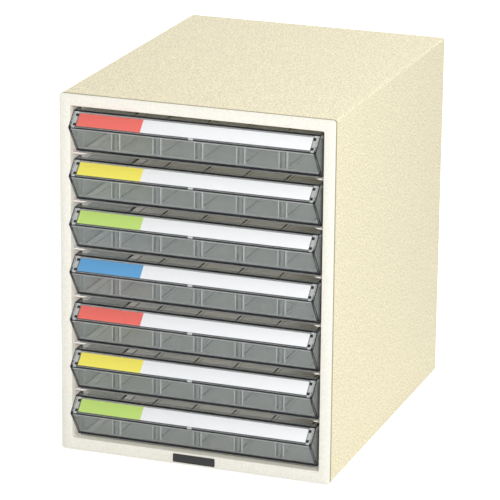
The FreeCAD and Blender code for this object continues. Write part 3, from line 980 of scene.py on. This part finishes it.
def tray_parts(floor):
    """Walls and rim as a ring of loops closed by the grooved floor, then ribs and lugs, with their marks of
    painted highlight and painted shade.

    Each loop says its inset, its radii at front and back, its height at the sides and at the front,
    how far it reaches out at the sides, and its mark of painted highlight or painted shade.
    """
    under = tray_low
    inside = tray_low + wall
    # Painted light in the last column: the rim painted pale as a highlight, the crease at the wall's foot
    # near black as shade, the floor's edge pale as a highlight.
    loops = [
        (lip, 0, 0, under, under, 0, 0),
        (1.0, 0.6, 4.0, under, under, 0, 0),
        (0.3, 0.8, 4.7, under + 0.3, under + 0.3, 0, 0),
        (0.0, 1.0, 5.0, under + 1.0, under + 1.0, 0, 0),
        (0.0, 1.0, 5.0, side_top - 2.05, front_wall_top - 2.05, 0, 0),
        (0.0, 1.0, 5.0, side_top - 2.0, front_wall_top - 2.0, 1.2, 0.8),
        (0.0, 1.0, 5.0, side_top - 1.7, front_wall_top - 1.7, 1.5, 0.8),
        (0.0, 1.0, 5.0, side_top - 0.3, front_wall_top - 0.3, 1.5, 0.8),
        (0.1, 0.9, 4.9, side_top, front_wall_top, 1.3, 0.8),
        (1.7, 2.7, 3.3, side_top, front_wall_top, 0, 0.8),
        (2.0, 3.0, 3.0, side_top - 0.3, front_wall_top - 0.3, 0, 0.8),
        (2.0, 3.0, 3.0, side_top - 0.6, front_wall_top - 0.6, 0, 0),
        (2.0, 3.0, 3.0, inside + 2.2, inside + 2.2, 0, 0),
        (2.0, 3.0, 3.0, inside + 1.8, inside + 1.8, 0, -1),
        (2.0, 3.0, 3.0, inside + 1.2, inside + 1.2, 0, -1),
        (2.35, 2.65, 2.65, inside + 0.35, inside + 0.35, 0, -1),
        (3.2, 1.8, 1.8, inside, inside, 0, 1),
        (lip, 0, 0, inside, inside, 0, 1),
    ]
    rings = np.stack([tray_loop(*loop[:6]) for loop in loops])
    walls, wall_faces = ring_of_loops(rings, False)
    x, y = np.meshgrid(across_floor, along_floor)
    off_middle = np.abs(x[..., None] - slot_middles).min(-1)
    open_ends = (y > floor_front) & (y < floor_back)
    depth = groove_depth * np.clip((slot_gap / 2 - off_middle) / 0.25 + 0.5, 0, 1) * open_ends
    rows, columns = x.shape
    grid = quads_between(rows, columns, False, False)
    floor_top = np.stack([x, y, inside - depth], -1).reshape(-1, 3)
    floor_under = np.stack([x, y, np.full(x.shape, under)], -1).reshape(-1, 3)
    points = np.concatenate([walls, floor_top, floor_under]) + [0, 0, floor]
    faces = [wall_faces[0], grid[:, ::-1] + len(walls), grid + len(walls) + rows * columns]
    off_line = np.minimum(np.abs(off_middle - slot_gap / 2), np.abs(np.abs(x) - painted_floor_line))
    # Painted light on the floor: pale all over, which brightens the drawer's inside, paler still outside two
    # painted lines 11 mm in from the sides, and near black as shade along the grooves' edges and those
    # lines.
    floor_painted_light = np.where(off_line < 0.5, -1.0, 0.7) + 0.3 * (np.abs(x) > painted_floor_line + 0.5)
    parts = [(points, faces)]
    marks = [np.concatenate([
        np.repeat([loop[6] for loop in loops], rings.shape[1]), floor_painted_light.ravel(), np.zeros(rows * columns)
    ])]
    ends = (
        (tray_front + wall - rib_bite, tray_front + rib_reach),
        (tray_back - rib_reach, tray_back - wall + rib_bite),
    )
    for middle in slot_middles:
        for side in (-1, 1):
            centre = middle + side * (slot_gap + rib_width) / 2
            for front, back in ends:
                half = rib_width / 2
                section, lines = edged_loop(centre - half, centre + half, front, back, 0.3, 0.75)
                # Painted light on the ribs: the sides facing the gap of a pair are painted near black as
                # shade, the other sides pale as highlights.
                lines = np.where(side * (section[:, 0] - centre) > 0, 1.0, -1.0)
                parts.append(bar(section, floor + inside - rib_bite, floor + side_top - 4.0, 0.4, "Z"))
                marks.append(np.tile(lines, bar_rings))
    lug_front = flange_back + travel + 0.5
    lug_low = floor + tray_low + lug_lift
    for side in (-1, 1):
        root = side * (tray_half - 1)
        tip = side * (tray_half + lug_reach)
        lug = rounded_path([
            (root, lug_front, 0.2),
            (tip, lug_front, 0.6),
            (tip, lug_front + lug_nose, 0.6),
            (side * tray_half, lug_front + lug_length, 0.2),
            (root, lug_front + lug_length, 0.2),
        ], True, 3)
        part = bar(lug, lug_low, lug_low + lug_height, 0.3, "Z")
        parts.append(part)
        # Painted highlight: the lugs are painted a little pale.
        marks.append(np.full(len(part[0]), 0.4))
    return parts, marks


for number in numbers:
    parts, marks = tray_parts(drawer_floor(number))
    tray = piece(
        "tray_moulding_%d" % number, parts, tray_smoke, "drawer_%d" % number, marks
    )
    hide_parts("tray_%d" % number)


# The title cards: strips of white card, one to a drawer, whose left quarter is printed in a colour that
# repeats down the cabinet.

card_high = 2.8
card_faces = (-0.97, -0.73)
card_half = 116.8
card_field_end = -0.0521


def card_stock(name, field):
    """Matt, faintly fibrous white card with a field of colour on its left quarter."""
    material = grained(
        name, colour=(0.945, 0.96, 0.985), speck=(0.9, 0.915, 0.94), scale=1500, variation=0.01,
        specks=0.05, bump=0.1, roughness=0.65, gloss=0.3
    )
    second_colour(material, field, "X", place=card_field_end, fade=0.0002, strength=1.0)
    return material


card_colours = [
    card_stock("card_red", (0.93, 0.17, 0.14)),
    card_stock("card_yellow", (0.98, 0.88, 0.13)),
    card_stock("card_green", (0.57, 0.8, 0.2)),
    card_stock("card_blue", (0.12, 0.39, 0.74)),
]
for number in numbers:
    outline = rounded_loop(card_low, seat_length - card_high, *card_faces, 0.05, 3)
    section = from_nose(outline, drawer_floor(number))
    card = piece(
        "title_card_strip_%d" % number,
        [bar(section, -card_half, card_half, 0.05, "X")],
        card_colours[(number - 1) % len(card_colours)],
        "drawer_%d" % number,
    )
    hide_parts("title_card_%d" % number)


# The card covers: strips of clear polystyrene over the cards. Two hooks at each end snap into slots
# in the seat, and a catch on the nose holds the lower edge.

clear_cover = see_through(
    "clear_cover", wall=(0.9, 0.92, 0.92), pale=(0.8, 0.82, 0.83), dark=painted_shade_black, wall_held=0.01,
    pale_held=0.5, dark_held=1.0, grazing=0.05, roughness=0.08, gloss=0.3
)
cover_low = 1.3
cover_high = 1.8
cover_faces = (-0.68, 0.3)
cover_half = front_half - 6.2
hook_half = 1.2
hook_length = 2.2
hook_root = 0.3
hook_faces = (-1.2, 0.3)
for number in numbers:
    floor_height = drawer_floor(number)
    section, lines = edged_loop(cover_low, seat_length - cover_high, *cover_faces, 0.2, 0.4)
    strip = bar(from_nose(section, floor_height), -cover_half, cover_half, 0.25, "X")
    # Painted highlights: the strip's ends and corner lines are painted pale.
    at_end = np.repeat([1, 1, 0, 0, 0, 0, 1, 1], len(section))
    parts = [strip]
    marks = [np.maximum(np.maximum(np.tile(lines, bar_rings), 0) * 0.6, at_end) * 0.8]
    for place in hook_places:
        for side in (-1, 1):
            outline = rounded_loop(place - hook_half, place + hook_half, *hook_faces, 0.3, 3)
            ends = sorted((side * (cover_half - hook_root), side * (cover_half + hook_length)))
            hook = bar(from_nose(outline, floor_height), ends[0], ends[1], 0.25, "X")
            parts.append(hook)
            # Painted shade: the hooks are painted near black.
            marks.append(np.full(len(hook[0]), -1.0))
    cover = piece(
        "card_cover_strip_%d" % number, parts, clear_cover, "drawer_%d" % number, marks
    )
    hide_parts("card_cover_%d" % number)


# The plate on the bottom rail: black plastic, a shallow tray with a raised border, left bare.

plate_black = grained(
    "plate_black", colour=(0.012, 0.012, 0.013), speck=(0.02, 0.02, 0.02), scale=3000, variation=0.1,
    specks=0.0, bump=0.05, roughness=0.3, gloss=0.5
)
plate_half_width = 21.5
plate_half_height = 4.2
plate_middle = (case_low + opening_low) / 2


def plate_loop(inset, y, radius):
    """A loop of the plate's outline at an inset and a depth."""
    across = plate_half_width - inset
    half = plate_half_height - inset
    return upright(rounded_loop(-across, across, plate_middle - half, plate_middle + half, radius), y)


plate_loops = [
    plate_loop(0, face_y, 1.0),
    plate_loop(0, face_y - 0.7, 1.0),
    plate_loop(0.1, face_y - 0.9, 0.9),
    plate_loop(0.3, face_y - 1.0, 0.7),
    plate_loop(0.75, face_y - 1.0, 0.4),
    plate_loop(0.9, face_y - 0.8, 0.3),
]
plate_points, plate_faces = ring_of_loops(plate_loops, False)
plate_count = len(plate_loops[0])
plate_faces.append(np.arange(plate_count)[None, ::-1])
plate_faces.append(len(plate_points) - plate_count + np.arange(plate_count)[None, :])
plate = piece("name_plate_moulding", [(plate_points, plate_faces)], plate_black, "cabinet")
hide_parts("name_plate")


# The feet: square rubber pads with cut corners, stuck under the shell's turned-in edges.

foot_rubber = grained(
    "foot_rubber", colour=(0.03, 0.03, 0.03), speck=(0.02, 0.02, 0.02), scale=1500, variation=0.2,
    specks=0.2, bump=0.3, roughness=0.8
)
foot_x = 123.5
foot_inset = 30
foot_half = 8
foot_flat = 4
foot_corners = [
    (-foot_flat, -foot_half),
    (foot_flat, -foot_half),
    (foot_half, -foot_flat),
    (foot_half, foot_flat),
    (foot_flat, foot_half),
    (-foot_flat, foot_half),
    (-foot_half, foot_flat),
    (-foot_half, -foot_flat),
]
for side, side_name in ((-1, "left"), (1, "right")):
    for y, end_name in ((face_y + foot_inset, "front"), (case_back - foot_inset, "back")):
        outline = rounded_path([(side * foot_x + u, y + v, 0.6) for u, v in foot_corners], True, 3)
        pad = piece(
            "%s_%s_pad" % (end_name, side_name),
            [bar(outline, 0.0, case_low, 0.3, "Z")],
            foot_rubber,
            "cabinet",
        )
        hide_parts("%s_%s_foot" % (end_name, side_name))
